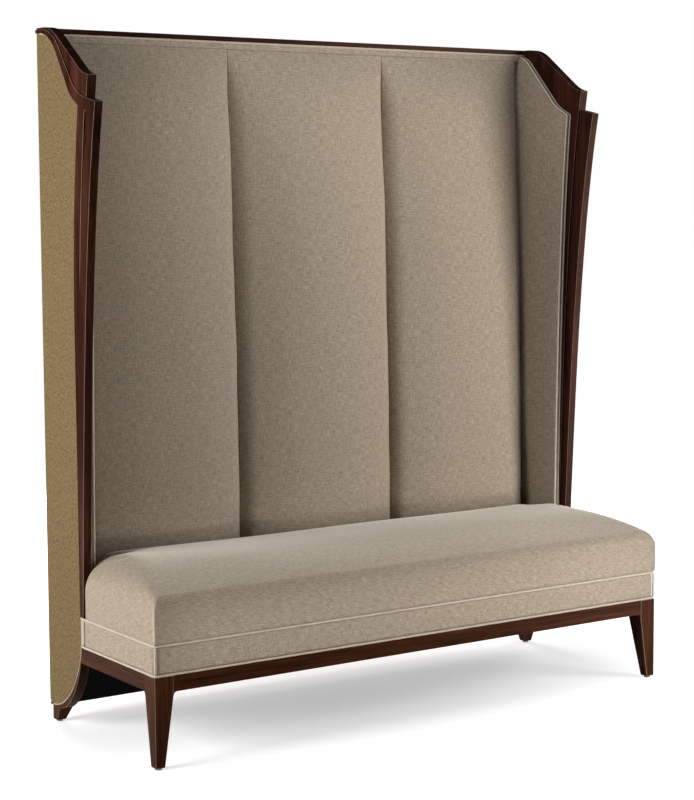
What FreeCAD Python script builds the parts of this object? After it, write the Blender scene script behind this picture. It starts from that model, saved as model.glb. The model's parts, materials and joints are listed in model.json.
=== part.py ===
"""High-back winged banquette settee: wooden base and wing frames, channelled back, tight bench seat."""
import FreeCAD, Part
import math
import os

V = FreeCAD.Vector

# Overall size, in millimetres: +X to the right as seen from the front, +Y to the back, +Z up
overall_depth = 620.0
overall_height = 1895.0
seat_width = 1696.0

# General clearances
fit_gap = 0.3
joint_gap = 0.2

# Show-wood base
rail_top = 240.0
rail_height = 42.0
rail_thickness = 28.0
leg_top_width = 54.0
leg_foot_width = 27.0
knee_radius = 10.0
tenon_length = 26.0
tenon_thickness = 10.0
tenon_height = 28.0
tenon_setback = 9.0
foot_top_width = 42.0
foot_tip_width = 26.0
foot_height = 39.0
foot_back_inset = 19.0
foot_side_inset = 1.0
glide_radius = 9.0
glide_height = 5.0
glide_nail_width = 3.0
glide_nail_length = 14.0

# Upholstered seat
boxing_height = 80.0
boxing_thickness = 8.0
welt_radius = 3.5
welt_proud = 3.0
end_welts = 2
cushion_front_wall = 87.0
cushion_roll = 36.0
cushion_roll_angle = 70.0
cushion_crown_rise = 172.0
cushion_crown_place = 268.0
cushion_back_rise = 143.0
cushion_end_wall = 65.0
cushion_end_roll_run = 146.0
cushion_end_roll_rise = 104.0

# Hidden seat frame
frame_rail_thickness = 28.0
frame_side_thickness = 49.0
stretcher_height = 40.0
block_leg = 70.0
block_height = 50.0
block_lift = 10.0
webbing_width = 50.0
webbing_thickness = 1.5
cloth_thickness = 1.5
seat_straps_deep = 11
seat_straps_wide = 4

# Wing boards: reach is measured forwards from the back plane, drop downwards from the top
wing_face_inset = 2.0
inner_board_thickness = 27.0
outer_board_thickness = 24.0
outer_board_proud = 4.0
wing_foot_reach = 61.0
wing_seat_reach = 207.0
wing_curve_top = 262.0
inner_ogee_start = 43.0
inner_ogee_end = 300.0
inner_ogee_drop = 137.0
inner_ogee_angle = 35.3
inner_ogee_crown = 128.0
inner_nose = 4.0
inner_nose_angle = 10.0
inner_sweep_handles = (232.0, 222.0)
outer_ogee_top_drop = 5.0
outer_ogee_start = 35.0
outer_ogee_end = 347.0
outer_ogee_drop = 207.0
outer_ogee_angle = 52.0
outer_ogee_crown = 132.0
outer_nose = 60.0
outer_nose_angle = 12.0
outer_sweep_foot = 225.0
outer_sweep_handles = (270.0, 247.0)
sweep_shares = (0.27, 0.66)
fin_lean_room = 11.0
slot_depth = 12.0
slot_width = 10.0
slot_top_drop = 228.0
slot_length = 470.0

# Outside panels
panel_thickness = 4.0
panel_recess = 2.0
panel_ogee_top_drop = 15.0
panel_ogee_start = 20.0
panel_ogee_end = 248.0
panel_ogee_drop = 215.0
panel_ogee_angle = 56.0
panel_ogee_crown = 126.0
panel_nose = 26.0
panel_nose_angle = 31.0
panel_front_margin = 1.0
panel_front_straight_top = 1100.0
panel_front_handle = 218.0
panel_bottom = 48.0
panel_curve_top = 270.0
panel_curve_end = 24.0

# Inside wing pads
pad_thickness = 42.0
pad_ogee_top_drop = 20.0
pad_ogee_start = 6.0
pad_ogee_end = 253.0
pad_ogee_drop = 209.0
pad_ogee_angle = 46.0
pad_ogee_crown = 85.0
pad_nose = 40.0
pad_nose_angle = 27.0
pad_foot_reach = 203.0
pad_sweep_handles = (218.0, 211.0)

# Back frame and channels
back_board_thickness = 4.0
top_rail_height = 14.0
top_rail_depth = 26.0
post_width = 40.0
post_foot_front = 64.0
post_head_front = 12.0
lean_start = 460.0
back_bottom = 54.0
bottom_rail_height = 60.0
bottom_rail_depth = 40.0
cross_rail_height = 40.0
cross_rail_depth = 22.0
cross_rail_level = 1100.0
back_straps = 12
channel_edge_depth = 1.5
channel_crown_rise = 56.0
channel_edge_radius = 100.0
channel_flank_angle = 48.0
channel_top_radius = 75.0
channel_top_gap = 3.0
seam_edge_allowance = 18.0

# Fasteners
bolt_radius = 4.0
bolt_length = 44.0
bolt_head_radius = 8.0
bolt_head_sides = 6
rod_sides = 12
bolt_head_height = 6.0
seat_bolt_setback = 32.0
seat_bolt_spacing = 75.0
post_bolt_heights = (700.0, 1400.0)
dowel_radius = 4.0
dowel_length = 36.0

# Planes and levels that follow from the sizes
back_y = overall_depth / 2
front_y = -overall_depth / 2 + welt_proud
rail_bottom = rail_top - rail_height
knee_bottom = rail_bottom - knee_radius
side_x = seat_width / 2
wing_out = side_x - wing_face_inset
wing_in = wing_out - inner_board_thickness
outer_out = wing_out + outer_board_proud
outer_in = outer_out - outer_board_thickness
wing_front_y = back_y - wing_seat_reach
panel_bed = wing_out - panel_thickness - panel_recess
panel_front_reach = wing_seat_reach - panel_front_margin
board_y = back_y - back_board_thickness
wing_bottom = glide_height + foot_height
seam_z = rail_top + boxing_height
boxing_top = seam_z - welt_radius - fit_gap
boxing_bottom = rail_top + 2 * welt_radius + fit_gap
cushion_bottom = seam_z + welt_radius + fit_gap
deck_top = cushion_bottom - fit_gap
strap_top = deck_top - cloth_thickness
frame_top = strap_top - 2 * webbing_thickness
frame_front_y = front_y + boxing_thickness
frame_out = side_x - boxing_thickness
frame_in = frame_out - frame_side_thickness
post_front_y = back_y - post_foot_front
frame_inner_y = frame_front_y + frame_rail_thickness
frame_rear_y = post_front_y - frame_rail_thickness
top_rail_bottom = overall_height - top_rail_height
channel_top = top_rail_bottom - channel_top_gap
lean_rise = top_rail_bottom - lean_start
lean_shift = post_foot_front - post_head_front
lean_radius = (lean_rise ** 2 + lean_shift ** 2) / (2 * lean_shift)
strap_layer = webbing_thickness
cloth_back = strap_layer + joint_gap
cloth_layer = cloth_back + cloth_thickness
channel_layer = cloth_layer + fit_gap
pad_face = wing_in - pad_thickness
seam_reach = (wing_in - seam_edge_allowance) / 3
channel_flank = math.radians(channel_flank_angle)
outer_sweep_bottom = cushion_bottom + 2 * fit_gap


def box(x_range, y_range, z_range):
    """Block between three pairs of limits."""
    size = [high - low for low, high in (x_range, y_range, z_range)]
    return Part.makeBox(*size, V(x_range[0], y_range[0], z_range[0]))


def mirrored(shape):
    """The same piece on the other side of the settee."""
    return shape.mirror(V(0, 0, 0), V(1, 0, 0))


def group(shapes):
    """Several separate solids in one node."""
    return Part.makeCompound(shapes)


def side_point(x, reach, z):
    """Point of a side view: reach forwards from the back plane."""
    return V(x, back_y - reach, z)


def line(start, end):
    return Part.LineSegment(start, end).toShape()


def bezier(*poles):
    curve = Part.BezierCurve()
    curve.setPoles(list(poles))
    return curve.toShape()


def prism(edges, direction):
    """Closed outline pushed along a direction."""
    return Part.Face(Part.Wire(edges)).extrude(direction)


def polygon_prism(points, direction):
    """Straight-sided outline pushed along a direction."""
    return Part.Face(Part.makePolygon(points + points[:1])).extrude(direction)


def ogee(x, start, end, angle, crown, nose, nose_angle):
    """Round crown, straight fall, hollow sweep and straight nose, each tangent to the next."""
    steep = math.radians(angle)
    flat = math.radians(nose_angle)
    nose_z = end[1] + nose * math.tan(flat)
    span = end[0] - nose - start[0] - crown * math.sin(steep)
    fall = start[1] - nose_z - crown * (1 - math.cos(steep))
    hollow_span = math.sin(steep) - math.sin(flat)
    hollow_fall = math.cos(flat) - math.cos(steep)
    scale = math.cos(steep) * hollow_fall - math.sin(steep) * hollow_span
    run = (span * hollow_fall - fall * hollow_span) / scale
    hollow = (fall * math.cos(steep) - span * math.sin(steep)) / scale

    def on_crown(angle):
        reach = start[0] + crown * math.sin(angle)
        return side_point(x, reach, start[1] - crown * (1 - math.cos(angle)))

    def on_hollow(angle):
        reach = end[0] - nose - hollow * (math.sin(angle) - math.sin(flat))
        return side_point(x, reach, nose_z + hollow * (math.cos(flat) - math.cos(angle)))

    crown_end = on_crown(steep)
    run_end = crown_end + V(0, -run * math.cos(steep), -run * math.sin(steep))
    nose_start = on_hollow(flat)
    return [
        Part.Arc(on_crown(0), on_crown(steep / 2), crown_end).toShape(),
        line(crown_end, run_end),
        Part.Arc(run_end, on_hollow((steep + flat) / 2), nose_start).toShape(),
        line(nose_start, side_point(x, end[0], end[1])),
    ]


def sweep(x, top, bottom, handles):
    """Front edge that leans forwards towards its top, as one smooth curve."""
    fall = top[1] - bottom[1]
    middle = [side_point(x, reach, top[1] - share * fall) for reach, share in zip(handles, sweep_shares)]
    return bezier(side_point(x, *top), *middle, side_point(x, *bottom))


def lower_curve(x, start, end):
    """Swept lower corner: leaves the front edge upright and meets the bottom nearly level."""
    first = side_point(x, start[0], start[1] - (start[1] - end[1]) / 2)
    second = side_point(x, end[0] + (start[0] - end[0]) / 2, end[1])
    return bezier(side_point(x, *start), first, second, side_point(x, *end))


def inner_board_outline(x):
    """Side view of the inner wing board."""
    rear = back_board_thickness
    ogee_end = (inner_ogee_end, overall_height - inner_ogee_drop)
    seat = (wing_seat_reach, seam_z)
    curve_start = (wing_seat_reach, wing_curve_top)
    curve_end = (wing_foot_reach, wing_bottom)
    return [
        line(side_point(x, rear, wing_bottom), side_point(x, rear, overall_height)),
        line(side_point(x, rear, overall_height), side_point(x, inner_ogee_start, overall_height)),
        *ogee(x, (inner_ogee_start, overall_height), ogee_end, inner_ogee_angle, inner_ogee_crown,
              inner_nose, inner_nose_angle),
        sweep(x, ogee_end, seat, inner_sweep_handles),
        line(side_point(x, *seat), side_point(x, *curve_start)),
        lower_curve(x, curve_start, curve_end),
        line(side_point(x, *curve_end), side_point(x, rear, wing_bottom)),
    ]


def outer_board_outline(x):
    """Side view of the outer wing board, with the panel's place still filled."""
    rear = back_board_thickness
    top = overall_height - outer_ogee_top_drop
    ogee_end = (outer_ogee_end, overall_height - outer_ogee_drop)
    foot = (outer_sweep_foot, outer_sweep_bottom)
    return [
        line(side_point(x, rear, outer_sweep_bottom), side_point(x, rear, top)),
        line(side_point(x, rear, top), side_point(x, outer_ogee_start, top)),
        *ogee(x, (outer_ogee_start, top), ogee_end, outer_ogee_angle, outer_ogee_crown,
              outer_nose, outer_nose_angle),
        sweep(x, ogee_end, foot, outer_sweep_handles),
        line(side_point(x, *foot), side_point(x, rear, outer_sweep_bottom)),
    ]


def panel_outline(x, inset):
    """Side view of the outside panel, drawn in by an even inset."""
    rear = back_board_thickness
    top = overall_height - panel_ogee_top_drop - inset
    ogee_end = (panel_ogee_end - inset, overall_height - panel_ogee_drop - inset)
    front = panel_front_reach - inset
    straight_top = (front, panel_front_straight_top)
    straight_low = (front, panel_curve_top)
    bottom = panel_bottom + inset
    fall = ogee_end[1] - straight_top[1]
    return [
        line(side_point(x, rear, bottom), side_point(x, rear, top)),
        line(side_point(x, rear, top), side_point(x, panel_ogee_start, top)),
        *ogee(x, (panel_ogee_start, top), ogee_end, panel_ogee_angle, panel_ogee_crown - inset,
              panel_nose, panel_nose_angle),
        bezier(side_point(x, *ogee_end), side_point(x, panel_front_handle - inset, ogee_end[1] - fall / 3),
               side_point(x, front, straight_top[1] + fall / 3), side_point(x, *straight_top)),
        line(side_point(x, *straight_top), side_point(x, *straight_low)),
        lower_curve(x, straight_low, (panel_curve_end, bottom)),
        line(side_point(x, panel_curve_end, bottom), side_point(x, rear, bottom)),
    ]


def slot_outline(x):
    """Tapered shadow slot just in front of the inner board's front edge."""
    ogee_end = (inner_ogee_end, overall_height - inner_ogee_drop)
    edge = sweep(x, ogee_end, (wing_seat_reach, seam_z), inner_sweep_handles)
    top = overall_height - slot_top_drop
    bottom = top - slot_length
    levels = [top, (top + bottom) / 2, bottom]
    plane_points = [edge.Curve.intersectCS(Part.Plane(V(0, 0, z), V(0, 0, 1)))[0][0] for z in levels]
    rear = [V(x, p.Y, p.Z) for p in plane_points]
    shares = [1.0, 0.5, 0.0]
    front = [p + V(0, -slot_width * share, 0) for p, share in zip(rear, shares)]
    return [
        Part.Arc(*rear).toShape(),
        Part.Arc(rear[2], front[1], front[0]).toShape(),
        line(front[0], rear[0]),
    ]


def lean_edges(x, offset, bottom, top):
    """Front line of the back: upright below, then leaning back on one large arc."""
    radius = lean_radius + offset
    centre_y = post_front_y + lean_radius

    def on_arc(z):
        return V(x, centre_y - math.sqrt(radius ** 2 - (z - lean_start) ** 2), z)

    return [
        line(V(x, post_front_y - offset, bottom), on_arc(lean_start)),
        Part.Arc(on_arc(lean_start), on_arc((lean_start + top) / 2), on_arc(top)).toShape(),
    ]


def back_zone(x_range, near, far, bottom, top):
    """Slab between two front lines of the back, or between one and a plane behind it."""
    front = lean_edges(x_range[0], near, bottom, top)
    low = front[0].Vertexes[0].Point
    high = front[1].Vertexes[-1].Point
    if far is None:
        board_high = V(high.x, board_y, top)
        board_low = V(low.x, board_y, bottom)
        rear = [line(high, board_high), line(board_high, board_low), line(board_low, low)]
    else:
        behind = lean_edges(x_range[0], far, bottom, top)
        rear_low = behind[0].Vertexes[0].Point
        rear_high = behind[1].Vertexes[-1].Point
        rear = [line(high, rear_high), behind[1], behind[0], line(rear_low, low)]
    return prism(front + rear, V(x_range[1] - x_range[0], 0, 0))


def rod(sides, radius, base, way):
    """Many-sided rod from a base point along a way."""
    turns = [2 * math.pi * index / sides for index in range(sides)]
    corners = [V(radius * math.cos(turn), radius * math.sin(turn), 0) for turn in turns]
    shape = polygon_prism(corners, V(0, 0, way.Length))
    shape.Placement = FreeCAD.Placement(base, FreeCAD.Rotation(V(0, 0, 1), way))
    return shape


def bolt(x, y, z, gap):
    """Hexagon bolt pushed in from the right, its head sunk level with the panel's bed."""
    face = V(x, y, z)
    head = rod(bolt_head_sides, bolt_head_radius + gap, face, V(-bolt_head_height - gap, 0, 0))
    shank = rod(rod_sides, bolt_radius + gap, face, V(-bolt_length - gap, 0, 0))
    return head.fuse(shank).removeSplitter()


def post_front_at(z):
    """Depth of the back's front line at a height."""
    if z <= lean_start:
        return post_front_y
    return post_front_y + lean_radius - math.sqrt(lean_radius ** 2 - (z - lean_start) ** 2)


def wing_bolts(gap):
    """Bolts through the right wing board into the seat frame and the outer back post."""
    seat_level = (rail_top + frame_top) / 2
    first = wing_front_y + seat_bolt_setback
    places = [(first, seat_level), (first + seat_bolt_spacing, seat_level)]
    places += [((post_front_at(z) + board_y) / 2, z) for z in post_bolt_heights]
    return [bolt(panel_bed, y, z, gap) for y, z in places]


def foot_dowel(gap):
    """Upright dowel between the right rear foot and the wing board."""
    x = (wing_in + panel_bed) / 2
    y = back_y - foot_back_inset - foot_top_width / 2
    half = dowel_length / 2 + gap
    return rod(rod_sides, dowel_radius + gap, V(x, y, wing_bottom - half), V(0, 0, 2 * half))


def top_dowel(gap):
    """Level dowel between the top rail and the right wing board."""
    y = back_y - top_rail_depth / 2
    z = overall_height - top_rail_height / 2
    half = dowel_length / 2 + gap
    return rod(rod_sides, dowel_radius + gap, V(wing_in - half, y, z), V(2 * half, 0, 0))


def glide(x, y, nail_gap):
    """Disc glide with its square nail."""
    disc = Part.makeCylinder(glide_radius, glide_height, V(x, y, 0))
    half = glide_nail_width / 2 + nail_gap
    tip = glide_height + glide_nail_length + nail_gap
    nail = box((x - half, x + half), (y - half, y + half), (glide_height, tip))
    return disc, nail


def tapered_leg(corner, top, tip, top_z, tip_z):
    """Right-hand square leg: its two outer faces stand upright, its inner faces taper to the tip."""
    x, y, inwards = corner
    tip_x, top_x = (x - tip, x - top)
    tip_y = sorted((-y, -y - inwards * tip))
    top_y = sorted((-y, -y - inwards * top))
    leg = Part.makeWedge(tip_x, tip_z, tip_y[0], top_y[0], top_x, x, top_z, tip_y[1], top_y[1], x)
    return leg.rotated(V(0, 0, 0), V(1, 0, 0), 90)


front_leg_centre = (side_x - leg_foot_width / 2, front_y + leg_foot_width / 2)
rear_foot_corner = (wing_out - foot_side_inset, back_y - foot_back_inset)
rear_foot_centre = (rear_foot_corner[0] - foot_tip_width / 2, rear_foot_corner[1] - foot_tip_width / 2)


def front_tenon(gap):
    """Tenon of the front rail's right end."""
    inner = side_x - leg_top_width
    middle = (rail_top + rail_bottom) / 2
    return box((inner, inner + tenon_length + gap),
               (front_y + tenon_setback - gap, front_y + tenon_setback + tenon_thickness + gap),
               (middle - tenon_height / 2 - gap, middle + tenon_height / 2 + gap))


def side_tenon(gap):
    """Tenon of the right side rail's front end."""
    inner = front_y + leg_top_width
    middle = (rail_top + rail_bottom) / 2
    return box((side_x - tenon_setback - tenon_thickness - gap, side_x - tenon_setback + gap),
               (inner - tenon_length - gap, inner),
               (middle - tenon_height / 2 - gap, middle + tenon_height / 2 + gap))


def front_leg():
    """Right front leg with mortises for both rails."""
    post = box((side_x - leg_top_width, side_x), (front_y, front_y + leg_top_width),
               (knee_bottom, rail_top))
    taper = tapered_leg((side_x, front_y, 1), leg_top_width, leg_foot_width, knee_bottom, glide_height)
    nail = glide(*front_leg_centre, joint_gap)[1]
    leg = post.fuse(taper).removeSplitter()
    return leg.cut([front_tenon(joint_gap), side_tenon(joint_gap), nail])


def front_rail():
    """Front show rail, with a small hollow at each leg and a tenon at each end."""
    end = side_x - leg_top_width
    bend = knee_radius * math.sqrt(0.5)
    centre = V(end - knee_radius, front_y, knee_bottom)
    corners = [V(end, front_y, rail_top), V(end, front_y, knee_bottom),
               V(end - knee_radius, front_y, rail_bottom)]
    other = [V(-p.x, p.y, p.z) for p in corners]
    edges = [
        line(other[0], corners[0]),
        line(corners[0], corners[1]),
        Part.Arc(corners[1], centre + V(bend, 0, bend), corners[2]).toShape(),
        line(corners[2], other[2]),
        Part.Arc(other[2], V(-centre.x - bend, front_y, centre.z + bend), other[1]).toShape(),
        line(other[1], other[0]),
    ]
    tenon = front_tenon(0)
    return prism(edges, V(0, rail_thickness, 0)).fuse([tenon, mirrored(tenon)]).removeSplitter()


def side_rail():
    """Right side show rail from the front leg to the wing."""
    x = side_x - rail_thickness
    start = front_y + leg_top_width
    bend = knee_radius * math.sqrt(0.5)
    corners = [V(x, start, rail_top), V(x, start, knee_bottom), V(x, start + knee_radius, rail_bottom),
               V(x, wing_front_y, rail_bottom), V(x, wing_front_y, rail_top)]
    hollow = V(x, start + knee_radius - bend, knee_bottom + bend)
    edges = [
        line(corners[0], corners[1]),
        Part.Arc(corners[1], hollow, corners[2]).toShape(),
        line(corners[2], corners[3]),
        line(corners[3], corners[4]),
        line(corners[4], corners[0]),
    ]
    return prism(edges, V(rail_thickness, 0, 0)).fuse(side_tenon(0)).removeSplitter()


def rear_foot():
    """Right rear foot under the wing board."""
    foot = tapered_leg((*rear_foot_corner, -1), foot_top_width, foot_tip_width, wing_bottom, glide_height)
    return foot.cut([foot_dowel(joint_gap), glide(*rear_foot_centre, joint_gap)[1]])


def glides():
    """One glide under each leg and foot."""
    right = []
    for place in (front_leg_centre, rear_foot_centre):
        disc, nail = glide(*place, 0)
        right.append(disc.fuse(nail))
    return group(right + [mirrored(piece) for piece in right])


def inner_board():
    """Right inner wing board, rebated for the outside panel and bored for its fasteners."""
    board = prism(inner_board_outline(wing_in), V(inner_board_thickness, 0, 0))
    bed = prism(panel_outline(panel_bed, 0), V(wing_out - panel_bed, 0, 0))
    return board.cut([bed, *wing_bolts(joint_gap), foot_dowel(joint_gap), top_dowel(joint_gap)])


def outer_board():
    """Right outer wing board: a thin facing round the panel that thickens into the swept front fin."""
    facing = prism(outer_board_outline(wing_out), V(outer_board_proud, 0, 0))
    facing = facing.cut(prism(panel_outline(wing_out, 0), V(outer_board_proud, 0, 0)))
    fin = prism(outer_board_outline(outer_in), V(wing_out - outer_in, 0, 0))
    fin = fin.cut(prism(inner_board_outline(outer_in), V(wing_out - outer_in, 0, 0)))
    fin = max(fin.Solids, key=lambda solid: solid.Volume)
    slot = prism(slot_outline(outer_out - slot_depth), V(slot_depth, 0, 0))
    board = facing.fuse(fin).removeSplitter().cut(slot)
    return max(board.Solids, key=lambda solid: solid.Volume)


def outside_panel():
    """Right outside panel, covered board let into the inner wing board."""
    return prism(panel_outline(panel_bed, fit_gap), V(panel_thickness, 0, 0))


def pad_outline(x):
    """Side view of the inside wing pad, reaching behind the back's front line."""
    top = overall_height - pad_ogee_top_drop
    ogee_end = (pad_ogee_end, overall_height - pad_ogee_drop)
    foot = (pad_foot_reach, cushion_bottom)
    return [
        line(side_point(x, pad_ogee_start, cushion_bottom), side_point(x, pad_ogee_start, top)),
        *ogee(x, (pad_ogee_start, top), ogee_end, pad_ogee_angle, pad_ogee_crown,
              pad_nose, pad_nose_angle),
        sweep(x, ogee_end, foot, pad_sweep_handles),
        line(side_point(x, *foot), side_point(x, pad_ogee_start, cushion_bottom)),
    ]


def wing_pad():
    """Right inside wing pad, cut off behind along the back's front line."""
    pad = prism(pad_outline(pad_face), V(pad_thickness - fit_gap, 0, 0))
    return pad.cut(back_zone((pad_face, wing_in), channel_layer, None, rail_top, overall_height))


def top_rail():
    """Thin show-wood capping between the wings."""
    rail = box((-wing_in, wing_in), (back_y - top_rail_depth, back_y), (top_rail_bottom, overall_height))
    hole = top_dowel(joint_gap)
    return rail.cut([hole, mirrored(hole)])


def outer_post():
    """Right outer back post, bolted to the wing board."""
    post = back_zone((wing_in - post_width, wing_in), 0, None, back_bottom, top_rail_bottom)
    return post.cut(wing_bolts(joint_gap))


def inner_post(x):
    """Back post behind a channel seam, standing on the bottom rail."""
    half = post_width / 2
    return back_zone((x - half, x + half), 0, None, back_bottom + bottom_rail_height, top_rail_bottom)


def back_bottom_rail():
    reach = wing_in - post_width
    return box((-reach, reach), (board_y - bottom_rail_depth, board_y),
               (back_bottom, back_bottom + bottom_rail_height))


def back_cross_rail(x_range):
    return box(x_range, (board_y - cross_rail_depth, board_y),
               (cross_rail_level - cross_rail_height / 2, cross_rail_level + cross_rail_height / 2))


def outside_back_panel():
    """Covered board across the whole back."""
    reach = panel_bed + panel_thickness
    return box((-reach, reach), (board_y, back_y), (back_bottom, top_rail_bottom))


def lower_back_cover():
    """Dark board that closes the back below the seat."""
    reach = wing_in - fit_gap
    return box((-reach, reach), (post_front_y - back_board_thickness, post_front_y),
               (back_bottom, rail_top - cloth_thickness - fit_gap))


def back_webbing():
    """Level straps across the front of the back posts."""
    sheet = back_zone((-wing_in + fit_gap, wing_in - fit_gap), strap_layer, 0, cushion_bottom, channel_top)
    pitch = (channel_top - cushion_bottom) / back_straps
    reach = wing_in
    straps = []
    for index in range(back_straps):
        low = cushion_bottom + pitch * (index + 0.5) - webbing_width / 2
        straps.append(sheet.common(box((-reach, reach), (front_y, back_y), (low, low + webbing_width))))
    return group(straps)


def back_hessian():
    """Cloth over the straps of the back."""
    reach = wing_in - fit_gap
    return back_zone((-reach, reach), cloth_layer, cloth_back, cushion_bottom, channel_top)


def channel_arcs(half):
    """Crown radius of a channel, the angle where its edge roll starts, and the falls of crown and roll."""
    radius = (half ** 2 + channel_crown_rise ** 2) / (2 * channel_crown_rise)
    roll_reach = channel_edge_radius * math.sin(channel_flank)
    turn = math.asin((half - roll_reach) / (radius - channel_edge_radius))
    crown_fall = radius * (1 - math.cos(turn))
    roll_fall = channel_edge_radius * (math.cos(turn) - math.cos(channel_flank))
    return radius, turn, crown_fall, roll_fall


channel_depth = channel_edge_depth + sum(channel_arcs(seam_reach)[2:])


def channel_section(x_range, z):
    """Plan of one back channel: flat behind, gently crowned in front, rolled over at both edges."""
    half = (x_range[1] - x_range[0]) / 2
    middle = (x_range[0] + x_range[1]) / 2
    rear = post_front_y - channel_layer
    radius, turn, crown_fall, roll_fall = channel_arcs(half)
    shoulder = radius * math.sin(turn)
    shoulder_depth = channel_depth - crown_fall
    edge_depth = shoulder_depth - roll_fall
    bend = (turn + channel_flank) / 2
    bend_x = shoulder + channel_edge_radius * (math.sin(bend) - math.sin(turn))
    bend_depth = shoulder_depth - channel_edge_radius * (math.cos(turn) - math.cos(bend))

    def at(offset, depth):
        return V(middle + offset, rear - depth, z)

    def half_front(side):
        places = [(half, edge_depth), (bend_x, bend_depth), (shoulder, shoulder_depth)]
        return [at(side * offset, depth) for offset, depth in places]

    right = half_front(1)
    left = half_front(-1)
    return [
        line(at(-half, 0), at(half, 0)),
        line(at(half, 0), right[0]),
        Part.Arc(*right).toShape(),
        Part.Arc(right[2], at(0, channel_depth), left[2]).toShape(),
        Part.Arc(*left[::-1]).toShape(),
        line(left[0], at(-half, 0)),
    ]


def back_channel(x_range):
    """One upholstered channel: upright behind the seat, leaning back above it, rolled over at the top."""
    section = Part.Face(Part.Wire(channel_section(x_range, lean_start)))
    lower = section.extrude(V(0, 0, cushion_bottom - lean_start))
    angle = math.degrees(math.asin(lean_rise / lean_radius))
    upper = section.revolve(V(0, post_front_y + lean_radius, lean_start), V(-1, 0, 0), angle)
    channel = lower.fuse(upper).removeSplitter()
    front = post_front_at(channel_top) - channel_layer - channel_depth
    centre = V(x_range[0], front + channel_top_radius, channel_top - channel_top_radius)
    bend = channel_top_radius * math.sqrt(0.5)
    high = V(x_range[0], board_y, channel_top)
    edges = [
        line(V(x_range[0], front_y, cushion_bottom), V(x_range[0], front_y, centre.z)),
        line(V(x_range[0], front_y, centre.z), V(x_range[0], front, centre.z)),
        Part.Arc(V(x_range[0], front, centre.z), centre + V(0, -bend, bend),
                 V(x_range[0], centre.y, channel_top)).toShape(),
        line(V(x_range[0], centre.y, channel_top), high),
        line(high, V(x_range[0], board_y, cushion_bottom)),
        line(V(x_range[0], board_y, cushion_bottom), V(x_range[0], front_y, cushion_bottom)),
    ]
    return channel.common(prism(edges, V(x_range[1] - x_range[0], 0, 0)))


def seat_frame_front():
    return box((-frame_out, frame_out), (frame_front_y, frame_inner_y), (rail_top, frame_top))


def seat_frame_side():
    """Right side member of the seat frame, stepped in where it passes inside the wing board."""
    plan = [(frame_in, frame_inner_y), (frame_out, frame_inner_y), (frame_out, wing_front_y),
            (wing_in, wing_front_y), (wing_in, post_front_y), (frame_in, post_front_y)]
    points = [V(x, y, rail_top) for x, y in plan]
    return polygon_prism(points, V(0, 0, frame_top - rail_top)).cut(wing_bolts(joint_gap))


def seat_frame_rear():
    return box((-frame_in, frame_in), (frame_rear_y, post_front_y), (rail_top, frame_top))


def seat_stretcher(x):
    half = frame_rail_thickness / 2
    return box((x - half, x + half), (frame_inner_y, frame_rear_y),
               (rail_top, rail_top + stretcher_height))


def corner_block(y, towards):
    """Triangular block in a right corner of the seat frame."""
    low = rail_top + block_lift
    leg_end = y + towards * block_leg
    points = [V(frame_in, y, low), V(frame_in - block_leg, y, low), V(frame_in, leg_end, low)]
    return polygon_prism(points, V(0, 0, block_height))


def seat_webbing_deep():
    """Straps from the front to the rear member of the seat frame."""
    pitch = 2 * frame_in / seat_straps_deep
    straps = []
    for index in range(seat_straps_deep):
        middle = -frame_in + pitch * (index + 0.5)
        straps.append(box((middle - webbing_width / 2, middle + webbing_width / 2),
                          (frame_front_y + fit_gap, post_front_y - fit_gap),
                          (frame_top, frame_top + webbing_thickness)))
    return group(straps)


def seat_webbing_wide():
    """Straps across the seat frame, over the others."""
    pitch = (frame_rear_y - frame_inner_y) / seat_straps_wide
    reach = wing_in - fit_gap
    straps = []
    for index in range(seat_straps_wide):
        middle = frame_inner_y + pitch * (index + 0.5)
        straps.append(box((-reach, reach), (middle - webbing_width / 2, middle + webbing_width / 2),
                          (frame_top + webbing_thickness, strap_top)))
    return group(straps)


def seat_hessian():
    """Cloth over the seat straps."""
    reach = wing_in - fit_gap
    rear = post_front_y - cloth_layer - fit_gap
    return box((-reach, reach), (frame_front_y + fit_gap, rear), (strap_top, deck_top))


def dust_cover():
    """Thin cloth under the seat, cut round the leg posts."""
    reach = side_x - rail_thickness - fit_gap
    start = front_y + rail_thickness + fit_gap
    end = post_front_y - back_board_thickness - fit_gap
    cloth = box((-reach, reach), (start, end), (rail_top - cloth_thickness, rail_top))
    corner = box((side_x - leg_top_width - fit_gap, side_x), (front_y, front_y + leg_top_width + fit_gap),
                 (rail_bottom, rail_top))
    return cloth.cut([corner, mirrored(corner)])


def boxing_front():
    reach = frame_out - fit_gap
    return box((-reach, reach), (front_y, frame_front_y - fit_gap), (boxing_bottom, boxing_top))


def boxing_side():
    """Right side boxing, ending where a pair of upright welts closes it against the wing."""
    return box((frame_out + fit_gap, side_x),
               (frame_front_y + fit_gap, wing_front_y - 2 * welt_radius * end_welts - 2 * fit_gap),
               (boxing_bottom, boxing_top))


def seam_welt(z):
    """Piping round the front and sides of the seat, mitred at each corner."""
    x = side_x - welt_radius + welt_proud
    y = front_y + welt_radius - welt_proud
    end_y = wing_front_y - fit_gap
    path = Part.makePolygon([V(x, end_y, z), V(x, y, z), V(-x, y, z), V(-x, end_y, z)])
    circle = Part.Wire(Part.makeCircle(welt_radius, V(x, end_y, z), V(0, -1, 0)))
    closed, twisting, mitred = True, False, True
    return path.makePipeShell([circle], closed, twisting, mitred)


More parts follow.
